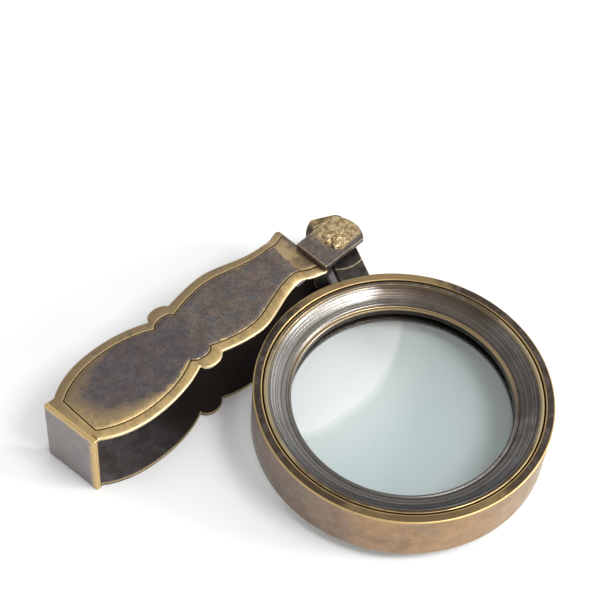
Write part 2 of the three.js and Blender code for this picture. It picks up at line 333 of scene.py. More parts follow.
def patina_plate_material():
    """Brass shows on the border, most on the near side, and the panel keeps its patina."""
    tree = Tree("patina_plate")
    edge, line, panel, outside, end = [tree.attribute(name) for name in PLATE_ATTRIBUTES]
    ragged = tree.noise(230, 5, 0.65)
    fine = tree.noise(1800, 3, 0.7)
    far = tree.fade(tree.axis(1), -7 * MM, 9 * MM)
    near = tree.minus(1, far)
    # Bare brass reaches over the line into the panel, furthest at the end wall and least on the far side
    reach = tree.times(near, tree.fade(end, 45, 8, 0.1, 2.6))
    reach = tree.plus(tree.fade(end, 30, 4, 0.15, 5.4), reach)
    depth = tree.plus(line, tree.wobble(ragged, 7.0))
    bleed = tree.minus(1, tree.math("DIVIDE", depth, reach), clamp=True)
    bleed = tree.times(bleed, tree.fade(fine, 0.25, 0.6, 0.45))
    crest = tree.plus(end, tree.wobble(ragged, 5.0))
    bend = tree.times(tree.fade(crest, 79.6, 80.8), tree.fade(end, 86.2, 84.7))
    bend = tree.times(bend, tree.fade(ragged, 0.36, 0.52, 0.35))
    border = tree.minus(tree.fade(fine, 0.2, 0.5, 0.8), panel, clamp=True)
    dulled = tree.times(tree.fade(ragged, 0.5, 0.72, 0, 0.75), tree.fade(far, 0, 1, 0.4))
    border = tree.times(border, tree.minus(1, dulled))
    wear = tree.larger(tree.larger(border, bleed), bend)
    brass = tree.mix(tree.fade(ragged, 0.32, 0.6), BRASS_OLIVE, BRASS_WORN)
    brass = tree.mix(tree.times(far, 0.8), brass, BRASS_FAR)
    brass = tree.mix(tree.fade(tree.noise(520, 4, 0.7), 0.48, 0.66, 0, 0.5), brass, BRASS_BROWN)
    smudge = tree.times(tree.fade(tree.noise(340, 5, 0.7), 0.42, 0.6, 0.35, 1.2), near)
    brass = tree.mix(tree.times(smudge, tree.fade(end, 52, 72, 0, 0.6), True), brass, BRASS_BROWN)
    brass = tree.mix(tree.times(bend, 0.6), brass, BRASS_CREST)
    # The panel is darker and bluer from 47 to 39 mm from the wall end
    patina = tree.mix(tree.fade(end, 47, 39, 0, 0.4), patina_colour(tree), PANEL_DARKER)
    colour = tree.mix(wear, patina, brass)
    # Bright worn brass on the rim, brighter on the near side as a painted highlight
    rim = tree.times(tree.fade(edge, 0.45, 0.1), tree.fade(far, 0, 1, 0.5, 0.15))
    rim = tree.times(rim, tree.fade(fine, 0.25, 0.5, 0.6))
    colour = tree.mix(rim, colour, BRASS_BRIGHT)
    # A thin lip of worn brass beside the engraved line, painted bright as its highlight
    lip = tree.times(tree.fade(line, 0.2, 0.27), tree.fade(line, 0.45, 0.34))
    colour = tree.mix(tree.times(lip, tree.fade(fine, 0.3, 0.6, 0.1, 0.6)), colour, BRASS_WORN)
    cut = tree.times(tree.fade(line, 0.21, 0.12), tree.fade(ragged, 0.3, 0.45, 0.55))
    colour = tree.mix(cut, colour, LINE_BLACK)
    # The faces inside the handle get grime with painted shade, deepening from 10 to 36 mm from the wall end
    colour = tree.mix(outside, inside_grime_and_shade(tree, tree.fade(end, 10, 36, 0, 0.97)), colour)
    # The lower plate's rim side is painted in shade, but for a thin brass line along its inner edge
    shaded_rim_side = tree.fade(tree.axis(2), 0.1 * MM, 0.3 * MM)
    rim_line = tree.times(tree.fade(tree.axis(2), 0.7 * MM, 0.85 * MM), tree.fade(end, 66, 56, 0, 0.8))
    rim_line = tree.times(rim_line, tree.fade(fine, 0.25, 0.5, 0.5))
    rim_shade_and_line = tree.mix(rim_line, SHADE_BLACK, BRASS_OLIVE)
    colour = tree.mix(tree.times(shaded_rim_side, tree.fade(outside, 0.1, 0.3)), colour, rim_shade_and_line)
    wear = tree.times(wear, outside)
    roughness = tree.plus(tree.fade(wear, 0, 1, 0.46, 0.34), tree.times(fine, 0.12))
    height = tree.plus(tree.times(fine, 0.5), tree.brushed(900, (0.15, 1, 1)))
    normal = tree.bump(height, 0.25, 0.0001)
    return tree.finish_worn(colour, wear, roughness, normal)


def patina_wall_material():
    """The end wall: brass along its top, down its near corner, and thinly on its other edges."""
    tree = Tree("patina_wall")
    edge = tree.edges(EDGE_WIDTH)
    ragged = tree.noise(420, 5, 0.65)
    fine = tree.noise(2000, 3, 0.7)
    wander = tree.wobble(ragged, 2.4 * MM)
    height = tree.plus(tree.axis(2), wander)
    across = tree.plus(tree.axis(1), wander)
    top = tree.fade(height, WALL_HIGH.z - 1.7 * MM, WALL_HIGH.z - 0.5 * MM)
    corner = tree.fade(across, WALL_LOW.y + 2.6 * MM, WALL_LOW.y + 0.7 * MM)
    rubbed = tree.larger(top, corner)
    wear = tree.larger(tree.times(edge, 0.8), rubbed)
    wear = tree.times(wear, tree.fade(fine, 0.2, 0.5, 0.7), clamp=True)
    # The face towards the handle's inside gets grime, painted half in shade
    inside = tree.fade(tree.facing(0), 0.4, 0.7)
    colour = tree.mix(0.45, patina_colour(tree), WALL_GREY)
    colour = tree.mix(inside, colour, inside_grime_and_shade(tree, 0.5))
    colour = tree.mix(wear, colour, tree.mix(tree.times(edge, rubbed), BRASS_WORN, BRASS_BRIGHT))
    normal = tree.bump(tree.plus(fine, tree.brushed(900, (1, 1, 0.15))), 0.3, 0.0001)
    roughness = tree.fade(fine, 0.2, 0.8, 0.34, 0.52)
    return tree.finish_worn(colour, wear, roughness, normal)


def ear_material():
    """Brushed patina, beaten and scratched down to brass around the rivet and on the far side of it;
    painted shade on the faces towards the handle's inside.
    """
    tree = Tree("patina_ear")
    edge = tree.edges(EDGE_WIDTH)
    ragged = tree.noise(520, 5, 0.7)
    above = tree.fade(tree.axis(2), HANDLE_TOP / 2, HANDLE_TOP / 2 + MM)
    outside = tree.times(tree.facing(2), tree.fade(above, 0, 1, -1))
    from_middle = tree.size(tree.minus(tree.axis(2), HANDLE_TOP / 2))
    outer_half = tree.fade(from_middle, HANDLE_TOP / 2 - 1.2 * MM, HANDLE_TOP / 2 - 0.8 * MM)
    edge = tree.times(edge, outer_half)
    dents = tree.noise(620, 4, 0.7, distortion=0.6)
    fine = tree.noise(2000, 3, 0.7)
    scratches = tree.brushed(1100, (0.12, 0.9, 0.5))
    wander = tree.wobble(ragged, 6 * MM)
    middle = tree.radius(PIVOT.x + 2.2 * MM, PIVOT.y + 0.9 * MM)
    beaten = tree.fade(tree.plus(middle, wander), 7.2 * MM, 5.4 * MM)
    beaten = tree.times(beaten, tree.fade(tree.axis(1), PIVOT.y - 4.6 * MM, PIVOT.y - 3 * MM))
    far = tree.fade(tree.plus(tree.axis(1), wander), PIVOT.y + 0.5 * MM, PIVOT.y + 4.5 * MM)
    along = tree.fade(tree.plus(tree.axis(0), wander), PIVOT.x - 6 * MM, PIVOT.x - 1 * MM)
    scraped = tree.times(tree.times(far, along), tree.fade(scratches, 0.4, 0.52, 0.3, 0.95))
    wear = tree.larger(tree.larger(beaten, scraped), tree.times(edge, 0.85), clamp=True)
    brass = tree.mix(tree.fade(dents, 0.4, 0.6), BEATEN_DARK, BEATEN_LIGHT)
    brass = tree.mix(tree.times(edge, 0.7), brass, BRASS_BRIGHT)
    colour = tree.mix(tree.fade(scratches, 0.55, 0.7, 0, 0.35), patina_colour(tree), PATINA_LIGHT)
    colour = tree.mix(wear, colour, brass)
    # Painted shade on the faces that look into the handle
    colour = tree.mix(tree.fade(outside, -0.1, -0.6), colour, SHADE_BLACK)
    relief = tree.plus(tree.times(beaten, tree.times(dents, 3.0)), scratches)
    normal = tree.bump(relief, 0.5, 0.00012)
    roughness = tree.fade(fine, 0.2, 0.8, 0.32, 0.5)
    return tree.finish_worn(colour, wear, roughness, normal)


def arm_material():
    """Dark sides, painted in shade between the ears and with a painted highlight on one shoulder; on top a
    scribed line by that shoulder, an arc worn by the ear, and a brassy tail.
    """
    tree = Tree("patina_arm")
    edge = tree.edges(EDGE_WIDTH)
    fine = tree.noise(2000, 3, 0.7)
    ragged = tree.noise(420, 5, 0.65)
    along = tree.axis(0)
    across = tree.times(tree.axis(1), -1)
    scribed = tree.within(across, 3.35 * MM, 0.32 * MM)
    scribed = tree.times(scribed, tree.math("GREATER_THAN", along, 3 * MM))
    # A pale painted highlight along one shoulder, past the ear
    shoulder = tree.times(tree.fade(across, 3.65 * MM, 3.8 * MM), tree.fade(across, 5 * MM, 4.7 * MM))
    shoulder = tree.times(shoulder, tree.fade(along, 7.8 * MM, 8.8 * MM))
    arc = tree.within(tree.radius(), 8.7 * MM, 0.17 * MM)
    arc = tree.times(arc, tree.fade(fine, 0.3, 0.55, 0.1, 0.65))
    top = tree.fade(tree.size(tree.axis(2)), 7.4 * MM, 7.6 * MM)
    tail = tree.fade(tree.plus(along, tree.times(ragged, 5 * MM)), 2 * MM, -3 * MM)
    rubbed = tree.times(tail, tree.fade(ragged, 0.3, 0.68, 0.35))
    rubbed = tree.times(rubbed, tree.fade(tree.brushed(1000, (0.3, 1, 0.15)), 0.3, 0.5, 0.5))
    wear = tree.larger(tree.times(edge, 0.8), rubbed, clamp=True)
    wear = tree.times(wear, tree.fade(tree.size(tree.axis(2)), 6.6 * MM, 7.2 * MM, 0.2))
    brass = tree.mix(tree.fade(ragged, 0.4, 0.6), BRASS_BROWN, BRASS_OLIVE)
    colour = tree.mix(tree.fade(ragged, 0.35, 0.7), ARM_DARK, ARM_LIGHT)
    colour = tree.mix(tree.times(shoulder, 0.8), colour, SHOULDER_HIGHLIGHT)
    # Painted shade on the middle of the sides, between the ears
    low = tree.fade(tree.size(tree.axis(2)), 5.2 * MM, 4.2 * MM)
    low = tree.times(low, tree.fade(across, 3 * MM, 4 * MM))
    colour = tree.mix(low, colour, SHADE_BLACK)
    colour = tree.mix(wear, colour, tree.mix(edge, brass, BRASS_BRIGHT))
    colour = tree.mix(tree.times(arc, top), colour, BRASS_BRIGHT)
    colour = tree.mix(tree.times(scribed, top), colour, LINE_BLACK)
    normal = tree.bump(tree.plus(fine, tree.brushed(900, (1, 0.15, 1))), 0.3, 0.0001)
    roughness = tree.fade(fine, 0.2, 0.8, 0.3, 0.48)
    return tree.finish_worn(colour, wear, roughness, normal)


def turned_material():
    """The dished bezels: dark grey, turned with lighter tracks, brown in places; a painted highlight on
    their far part, painted shade on the near part, beside and past the highlight, and in the opening.
    """
    tree = Tree("turned_bezel")
    tracks = tree.turning_marks(1700)
    broad = tree.turning_marks(420)
    stain = tree.noise(130, 5, 0.66)
    fine = tree.noise(1500, 3, 0.7)
    worn = tree.attribute("worn")
    near = tree.fade(tree.towards(NEAR_SIDE), 6 * MM, 30 * MM)
    away = tree.fade(tree.towards(NEAR_SIDE), 2 * MM, -14 * MM)
    colour = tree.mix(tree.fade(broad, 0.4, 0.6), TURNED_DARK, TURNED_LIGHT)
    # Polished brass on the far part of the outer dish, lightened further as a painted highlight
    polished_highlight = tree.fade(tree.towards(NEAR_SIDE), -10 * MM, -28 * MM)
    polished_highlight = tree.times(tree.fade(tree.radius(), 33.0 * MM, 34.4 * MM), polished_highlight)
    colour = tree.mix(tree.times(polished_highlight, 0.6), colour, POLISHED_HIGHLIGHT)
    colour = tree.mix(tree.fade(tracks, 0.5, 0.6, 0, 0.65), colour, TRACK_DARK)
    colour = tree.mix(tree.fade(tracks, 0.45, 0.34, 0, 0.8), colour, TRACK_LIGHT)
    brown_side = tree.plus(tree.towards(BROWN_SIDE), tree.times(stain, 50 * MM))
    brown = tree.fade(brown_side, 30 * MM, 50 * MM, 0, 0.65)
    colour = tree.mix(brown, colour, tree.mix(tree.fade(stain, 0.4, 0.6), PATINA_MID, PATINA_DARK))
    colour = tree.mix(tree.fade(stain, 0.54, 0.7, 0, 0.5), colour, STAIN_BROWN)
    colour = tree.mix(tree.fade(fine, 0.52, 0.72, 0, 0.5), colour, PATINA_DARK)
    colour = tree.mix(tree.times(near, 0.55), colour, DISH_SHADE)
    outer = tree.times(tree.fade(tree.radius(), 34.9 * MM, 35.7 * MM, 0, 0.5), away)
    outer = tree.times(outer, tree.fade(brown, 0.2, 0.6, 1, 0.2))
    colour = tree.mix(outer, colour, DISH_BRASS)
    # Painted shade beside the highlight, where it should not reach
    unlit = tree.plus(tree.towards(UNLIT_SIDE), tree.times(tracks, 6 * MM))
    colour = tree.mix(tree.fade(unlit, 32 * MM, 36.5 * MM, 0, 0.55), colour, DISH_UNLIT)
    # A patch of painted shade on the far side of the dish, where the highlight ends
    shaded_patch = tree.fade(tree.towards(NEAR_SIDE), -20 * MM, -30 * MM, 0, 0.8)
    shaded_patch_side = tree.plus(tree.towards(SHADED_PATCH_SIDE), tree.times(stain, 10 * MM))
    shaded_patch = tree.times(shaded_patch, tree.fade(shaded_patch_side, 9 * MM, 15 * MM))
    shaded_patch = tree.times(shaded_patch, tree.fade(tree.radius(), 32.5 * MM, 35.2 * MM, 0.5))
    colour = tree.mix(shaded_patch, colour, DISH_SHADED_PATCH)
    inner = tree.fade(tree.radius(), 34.2 * MM, 32.2 * MM)
    colour = tree.mix(tree.times(inner, 0.4), colour, DISH_INNER)
    worn = tree.times(worn, tree.times(away, tree.fade(fine, 0.2, 0.5, 0.5, 0.9)))
    colour = tree.mix(tree.times(worn, inner), colour, BRASS_WORN)
    # Painted shade in the bore at the opening
    low = tree.fade(tree.size(tree.axis(2)), 4.1 * MM, 3.9 * MM)
    colour = tree.mix(low, colour, DISH_BORE_SHADE)
    normal = tree.bump(tracks, 0.7, 0.00012)
    tangent = tree.add("Tangent", direction_type="RADIAL", axis="Z")
    roughness = tree.fade(tracks, 0.3, 0.7, 0.2, 0.34)
    return tree.finish(colour, 1, roughness, normal, Anisotropic=0.6, Tangent=tangent)


def ring_material(name, wall_colour, face_colour, edge_colour, patina_share, near_share, dark_axis,
                  dark_from=BEYOND_RINGS):
    """Aged brass: brown wall, yellower faces, bright edges; dark at the sides and past dark_from."""
    tree = Tree(name)
    tracks = tree.turning_marks(1500)
    stain = tree.noise(95, 5, 0.62)
    spots = tree.noise(300, 5, 0.7, tree.shifted((0.2, 0, 0.3)))
    fine = tree.noise(1500, 4, 0.75)
    up = tree.size(tree.facing(2))
    worn = tree.times(tree.attribute("worn"), tree.fade(spots, 0.3, 0.5, 0.6))
    wander = tree.wobble(stain, 60 * MM)
    wall = tree.mix(tree.fade(spots, 0.34, 0.72, 0, 0.8), wall_colour, BRASS_BROWN)
    wall_patina = tree.fade(tree.plus(tree.towards(DARK_SIDE), wander), -12 * MM, 30 * MM, 0.1, 0.95)
    wall = tree.mix(wall_patina, wall, tree.mix(tree.fade(spots, 0.4, 0.6), PATINA_LIGHT, PATINA_RED))
    blotches = tree.noise(70, 5, 0.7, tree.shifted((0, 0.5, 0.1)))
    wall = tree.mix(tree.fade(blotches, 0.5, 0.66, 0, 0.55), wall, BLOTCH_OLIVE)
    face = tree.mix(tree.fade(tracks, 0.42, 0.66, 0, 0.7), face_colour, BRASS_BROWN)
    side = tree.size(tree.towards(dark_axis))
    dark = tree.fade(tree.plus(side, wander), 12 * MM, 28 * MM, 0, patina_share)
    face = tree.mix(dark, face, tree.mix(tree.fade(spots, 0.34, 0.54), PATINA_MID, PATINA_DARK))
    near = tree.fade(tree.plus(tree.towards(NEAR_SIDE), wander), 18 * MM, 36 * MM, 0, near_share)
    face = tree.mix(near, face, FACE_STAIN)
    colour = tree.mix(tree.fade(up, 0.5, 0.9), wall, face)
    colour = tree.mix(tree.fade(fine, 0.52, 0.76, 0, 0.5), colour, PATINA_MID)
    worn = tree.times(worn, tree.fade(near, 0.5, 1, 1, 0.4))
    worn = tree.times(worn, tree.fade(tree.towards(NEAR_SIDE), -36 * MM, -24 * MM, 0.2))
    colour = tree.mix(worn, colour, edge_colour)
    outermost = tree.fade(tree.radius(), dark_from, dark_from + 0.2 * MM, 0, 0.85)
    colour = tree.mix(outermost, colour, SHADE_BLACK)
    normal = tree.bump(tree.plus(tracks, tree.times(fine, 0.5)), 0.25, 0.0001)
    return tree.finish(colour, 1, tree.fade(stain, 0.3, 0.7, 0.3, 0.42), normal)


def rivet_material():
    """Beaten brass with a few deep pits on the side towards the handle."""
    tree = Tree("hammered_rivet")
    dents = tree.noise(620, 4, 0.7, distortion=0.6)
    deep = tree.noise(900, 2, 0.5, tree.shifted((0.1, 0.2, 0)))
    pitted = tree.plus(deep, tree.fade(tree.axis(0), -0.5 * MM, -3 * MM, -0.06, 0.1))
    pits = tree.fade(pitted, 0.58, 0.64)
    colour = tree.mix(tree.fade(dents, 0.4, 0.6), BEATEN_DARK, BEATEN_LIGHT)
    colour = tree.mix(tree.times(pits, 0.85), colour, PIT_BROWN)
    relief = tree.minus(dents, tree.times(pits, 0.4))
    normal = tree.bump(relief, 0.5, 0.0003)
    return tree.finish(colour, 0.95, tree.fade(dents, 0.3, 0.7, 0.56, 0.44), normal)


def glass_material():
    """Crown glass, clear inside an arc with a painted highlight along its edge, darker and greener outside
    it as painted shade; light passes it without a dark shadow.
    """
    tree = Tree("lens_glass")
    wander = tree.wobble(tree.noise(60, 2, 0.5), 3 * MM)
    # Painted shade outside the arc, and a painted highlight just inside its edge
    from_arc = tree.plus(tree.radius(*SHADE_ARC_CENTRE), wander)
    lit_part = tree.fade(from_arc, SHADE_ARC_RADIUS + 0.8 * MM, SHADE_ARC_RADIUS - 0.8 * MM)
    shaded_rest = tree.mix(tree.fade(from_arc, SHADE_ARC_RADIUS, SHADE_ARC_RADIUS + 16 * MM), GLASS_SHADED_PALE, GLASS_SHADED_GREEN)
    bright = tree.fade(from_arc, SHADE_ARC_RADIUS - 9 * MM, SHADE_ARC_RADIUS - 1 * MM)
    tint = tree.mix(lit_part, shaded_rest, tree.mix(bright, GLASS_CLEAR, WHITE))
    dust = tree.fade(tree.noise(240, 3, 0.6), 0.6, 0.8, 0, 0.01)
    glass = tree.add("BsdfPrincipled", {"Base Color": tint, "Roughness": dust, "IOR": 1.52,
                                        "Transmission Weight": 1})
    clear = tree.add("BsdfTransparent", {"Color": GLASS_SHADOW})
    rays = tree.nodes.new("ShaderNodeLightPath").outputs
    lit = tree.larger(rays["Is Shadow Ray"], rays["Is Diffuse Ray"])
    return tree.finish_with(tree.add("MixShader", {0: lit, 1: glass, 2: clear}))


# ---- mesh helpers

def new_piece(name, mesh, body, material, replaced):
    """A piece that rides on a body and stands for one CAD node."""
    piece = add_object(name, mesh)
    mesh.materials.clear()
    mesh.materials.append(material)
    mesh.shade_smooth()
    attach(piece, body)
    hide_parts(replaced)
    return piece


def mesh_from(name, vertices, faces):
    mesh = bpy.data.meshes.new(name)
    mesh.from_pydata([tuple(v) for v in vertices], [], faces)
    mesh.validate()
    mesh.update()
    return mesh


def outward(mesh, weld=True):
    """Turns all faces outwards, once the points that lie on each other are one."""
    work = bmesh.new()
    work.from_mesh(mesh)
    if weld:
        bmesh.ops.remove_doubles(work, verts=work.verts, dist=1e-7)
    bmesh.ops.recalc_face_normals(work, faces=work.faces)
    work.to_mesh(mesh)
    work.free()
    return mesh


SHARP_EDGE = math.radians(28)


def softened_copy(node, width):
    """A CAD node's shape with its flats made whole and its sharp edges rounded."""
    mesh = frame["nodes"][node].data.copy()
    work = bmesh.new()
    work.from_mesh(mesh)
    bmesh.ops.remove_doubles(work, verts=work.verts, dist=2e-6)
    bmesh.ops.dissolve_limit(work, angle_limit=math.radians(1.5), verts=work.verts, edges=work.edges)
    sharp = [e for e in work.edges if len(e.link_faces) == 2 and e.calc_face_angle(0) > SHARP_EDGE]
    bmesh.ops.bevel(work, geom=sharp, offset=width, offset_type="OFFSET", segments=3, profile=0.5,
                    affect="EDGES", clamp_overlap=True)
    work.to_mesh(mesh)
    work.free()
    mesh.update()
    return mesh


def turn_over(mesh):
    """Mirrors a mesh in its own XY plane."""
    mesh.transform(Matrix.Scale(-1, 4, (0, 0, 1)))
    mesh.flip_normals()


def add_weighted_normals(piece):
    modifier = piece.modifiers.new("weighted_normals", "WEIGHTED_NORMAL")
    modifier.keep_sharp = True


def turned_faces(segments, rings, closed):
    """The faces between copies of a profile of so many points that stand around an axis."""
    faces = []
    for i in range(segments):
        this, following = i * rings, (i + 1) % segments * rings
        for k in range(rings if closed else rings - 1):
            n = (k + 1) % rings
            faces.append((this + k, following + k, following + n, this + n))
    return faces


def lathe(name, profile, segments, closed):
    """Turns (radius, height, worn) points, in metres, about the Z axis; worn is kept as an attribute."""
    vertices = []
    for i in range(segments):
        angle = 2 * math.pi * i / segments
        vertices += [(r * math.cos(angle), r * math.sin(angle), z) for r, z, _ in profile]
    mesh = mesh_from(name, vertices, turned_faces(segments, len(profile), closed))
    worn = mesh.attributes.new("worn", "FLOAT", "POINT")
    worn.data.foreach_set("value", [w for _, _, w in profile] * segments)
    return outward(mesh)


RING_SEGMENTS = 256
SHARP_CORNER = math.radians(145)


def rounded(profile, radius, steps=3):
    """Rounds every corner of a closed profile in millimetres; gives metres, with the sharp corners worn."""
    points = [Vector(p) for p in profile]
    result = []
    for i, corner in enumerate(points):
        before, after = points[i - 1] - corner, points[(i + 1) % len(points)] - corner
        cut = min(radius, before.length * 0.45, after.length * 0.45)
        start, end = corner + before.normalized() * cut, corner + after.normalized() * cut
        sharp = before.angle(after) < SHARP_CORNER
        for k in range(steps + 1):
            t = k / steps
            place = (1 - t) ** 2 * start + 2 * t * (1 - t) * corner + t ** 2 * end
            result.append((place.x * MM, place.y * MM, 1.0 if sharp and 0 < k < steps else 0.0))
    return result


def turned_piece(name, profile, material, replaced, closed=True, flip=False):
    """A turned piece of the lens ring, its own axis on the ring's."""
    mesh = lathe(name, profile, RING_SEGMENTS, closed)
    if flip:
        turn_over(mesh)
    piece = new_piece(name, mesh, "lens_unit", material, replaced)
    piece.location = RING_CENTRE


# ---- handle plates

# Millimetres; X runs along the handle from its wall end and Y across it
PLATE_THICKNESS = 1.1
PLATE_START = 1.32
PLATE_END = 86.8
WALL_SKEW = 1.4
WALL_HALF_WIDTH = 8.85
LIP_DROP = 1.9
BEND = (77, 83.5)
RIM_RADIUS = 0.32
GROOVE_HALF = 0.2
GROOVE_DEPTH = 0.2
BORDER_FALL = 0.2
BORDER_WIDTH = 2.3
LIP_CORNER = 1.5
LIP_ROWS = 12  # the rows that those corners can reach
LIP_END_ROUNDING = 0.35
SQUARE_END = 3.4  # the plate is straight as far as this
WAIST = ((12, 36), (78, 66))  # where the near edge's spread grows and fades
ROLL = ((60, 72), (79, 85))  # and the same for the roll of its rim
WAVE_SCALE = 0.09
WAVE_HEIGHT = 0.05

# (half width at the second bulge, the same for the engraved line, the line's half width at the neck)
NEAR_HALF = (12.75, 9.7, 5.2)
FAR_HALF = (12, 9.2, 5.8)
CURVE_STEPS = [26, 24, 12, 14, 22, 26, 18]
START_SHARES = (0, 0.3, 0.65, 0.9, 0.95)  # rows on the straight part
CROSS_ROW = len(START_SHARES)  # the engraved line crosses the plate on this one
FIRST_STEPS = (0, 0.011, 0.022)  # and these close rows hold its inner side
HALF_PANEL = (0,) * 6 + (0.5,) + (1,) * 6  # from the edge to the middle: 1 inside the line
FAR_OFF = 9  # a distance that no wear reaches


def edge_curves(half):
    """The plate's edge on one side, as control points (along, across)."""
    bulge = half[0]
    return [
        [(SQUARE_END, 8.8), (7.5, 11.8), (13, 13.45), (20, 13.45)],
        [(20, 13.45), (27, 13.45), (33, 12), (37.4, 10)],
        [(37.4, 10), (37.8, 11.8), (39.8, 12.2)],
        [(39.8, 12.2), (43.1, 12.7), (45, 10.5)],
        [(45, 10.5), (49.5, bulge - 0.7), (54, bulge), (57.5, bulge)],
        [(57.5, bulge), (63.5, bulge), (69.5, 8.3), (76.8, 8)],
        [(76.8, 8), (80.5, 8), (83, 9.4), (86.5, 10.2)],
    ]


def line_curves(half):
    """The engraved line inside that edge, curve for curve."""
    _, bulge, neck = half
    return [
        [(4.3, 6.15), (8.5, 9), (14, 10.75), (20.5, 10.75)],
        [(20.5, 10.75), (27, 10.75), (32.5, 9.3), (37, 6.8)],
        [(37, 6.8), (37.3, 8.3), (39.6, 8.5)],
        [(39.6, 8.5), (43.4, 8.9), (43.6, 6.95)],
        [(43.6, 6.95), (48.5, bulge - 0.8), (53, bulge), (57, bulge)],
        [(57, bulge), (63, bulge), (69, neck + 0.2), (76.5, neck)],
        [(76.5, neck), (80, neck), (83, neck + 1), (86.5, neck + 1.9)],
    ]


def bezier(points, t):
    """A point of a Bezier curve of any degree, by repeated interpolation."""
    points = [np.array(p, float) for p in points]
    while len(points) > 1:
        points = [a * (1 - t) + b * t for a, b in zip(points, points[1:])]
    return points[0]


def rows_along(curves):
    result = [bezier(curves[0], t) for t in FIRST_STEPS]
    for curve, steps in zip(curves, CURVE_STEPS):
        result += [bezier(curve, k / steps) for k in range(1, steps + 1)]
    return result


def distance_to_path(points, path):
    """Shortest distance from each point to a polyline, all in the plate's plane."""
    best = np.full(len(points), 1e9)
    for a, b in zip(path, path[1:]):
        ab = b - a
        t = np.clip(((points - a) @ ab) / max(ab @ ab, 1e-12), 0, 1)
        best = np.minimum(best, np.linalg.norm(points - (a + t[:, None] * ab), axis=1))
    return best


def half_plate_rows(half):
    """Rows across one half of the plate as (edge point, line point), from the end wall to the lip."""
    edge, line = rows_along(edge_curves(half)), rows_along(line_curves(half))
    rows = [[np.array([PLATE_START + share * (p[0] - PLATE_START), p[1]]) for p in (edge[0], line[0])]
            for share in START_SHARES]
    rows += list(zip(edge, line))
    # The lip's corners are rounded
    for edge, line in rows[-LIP_ROWS:]:
        over = max(edge[0] - (PLATE_END - LIP_CORNER), 0) / LIP_CORNER
        edge[1] -= LIP_CORNER * (1 - math.sqrt(1 - min(over, 1) ** 2))
    last_edge, last_line = rows[-1]
    rows.append((np.array([PLATE_END, last_edge[1] - LIP_END_ROUNDING]),
                 np.array([PLATE_END, last_line[1]])))
    return rows


def half_row(edge, line):
    """Points from the edge to the plate's middle line, closer together at the engraved line."""
    inward = line - edge
    gap = np.linalg.norm(inward)
    unit = inward / gap
    points = [edge + inward * share for share in (0, 0.24, 0.52, 0.78)]
    points += [line + unit * GROOVE_HALF * k for k in (-1, -0.5, 0, 0.5, 1)]
    inner = points[-1]
    points += [np.array([inner[0], inner[1] * share]) for share in (0.8, 0.6, 0.4, 0.2)]
    return points


def smooth(x, start, end):
    """Rises smoothly from 0 at start to 1 at end."""
    t = np.clip((x - start) / (end - start), 0, 1)
    return t * t * (3 - 2 * t)


def lip_height(x):
    t = np.clip((x - BEND[0]) / (BEND[1] - BEND[0]), 0, 1)
    return -LIP_DROP * (1 - np.cos(np.pi * t)) / 2


def skewed(x, y):
    """Slides the first rows along so that they follow the slanting end wall."""
    slant = WALL_SKEW * (WALL_HALF_WIDTH - y) / (2 * WALL_HALF_WIDTH)
    return x + slant * np.clip(1 - (x - PLATE_START) / (SQUARE_END - PLATE_START), 0, 1)


def plate_grid(spread):
    """The plate's points from above, its rows running from the far edge to the near one.

    Gives the points, 1 for each that is inside the engraved line, and the grid of their numbers."""
    grid, panel = [], []
    for r, (far, near) in enumerate(zip(half_plate_rows(FAR_HALF), half_plate_rows(NEAR_HALF))):
        far_half, near_half = half_row(*far), half_row(*near)
        middle = [np.array([(far_half[-1][0] + near_half[-1][0]) / 2, 0.0])]
        grid.append(far_half + middle + [np.array([p[0], -p[1]]) for p in reversed(near_half)])
        ahead = 0 if r < CROSS_ROW else 0.5 if r == CROSS_ROW else 1
        half_panel = [min(ahead, share) for share in HALF_PANEL]
        panel += half_panel + [ahead] + half_panel[::-1]
    flat = np.array(grid).reshape(-1, 2)
    flat[:, 0] = skewed(flat[:, 0], flat[:, 1])
    waist = smooth(flat[:, 0], *WAIST[0]) * smooth(flat[:, 0], *WAIST[1])
    flat[:, 1] *= 1 + spread / FAR_HALF[0] * waist * (flat[:, 1] < 0)
    return flat, panel, np.arange(len(flat)).reshape(len(grid), -1)


def outline_of(flat, index):
    """The numbers of the points around the grid, those points, and the direction outwards at each."""
    rim = list(index[:, 0]) + list(index[-1, 1:]) + list(index[-2::-1, -1]) + list(index[0, -2:0:-1])
    outline = flat[rim]
    along = np.roll(outline, -1, axis=0) - np.roll(outline, 1, axis=0)
    normal = np.stack([-along[:, 1], along[:, 0]], axis=1)
    normal /= np.linalg.norm(normal, axis=1)[:, None]
    if normal[0] @ (outline[0] - outline.mean(axis=0)) < 0:
        normal = -normal
    return rim, outline, normal


def distance_to_engraving(flat):
    """Distance to the engraved line, which runs along both sides and across the wall end."""
    far_side = [np.array(p) for p in rows_along(line_curves(FAR_HALF))]
    near_side = [np.array([p[0], -p[1]]) for p in rows_along(line_curves(NEAR_HALF))]
    cross = [np.array([far_side[0][0], y]) for y in (far_side[0][1], -far_side[0][1])]
    return np.minimum.reduce([distance_to_path(flat, path) for path in (far_side, near_side, cross)])


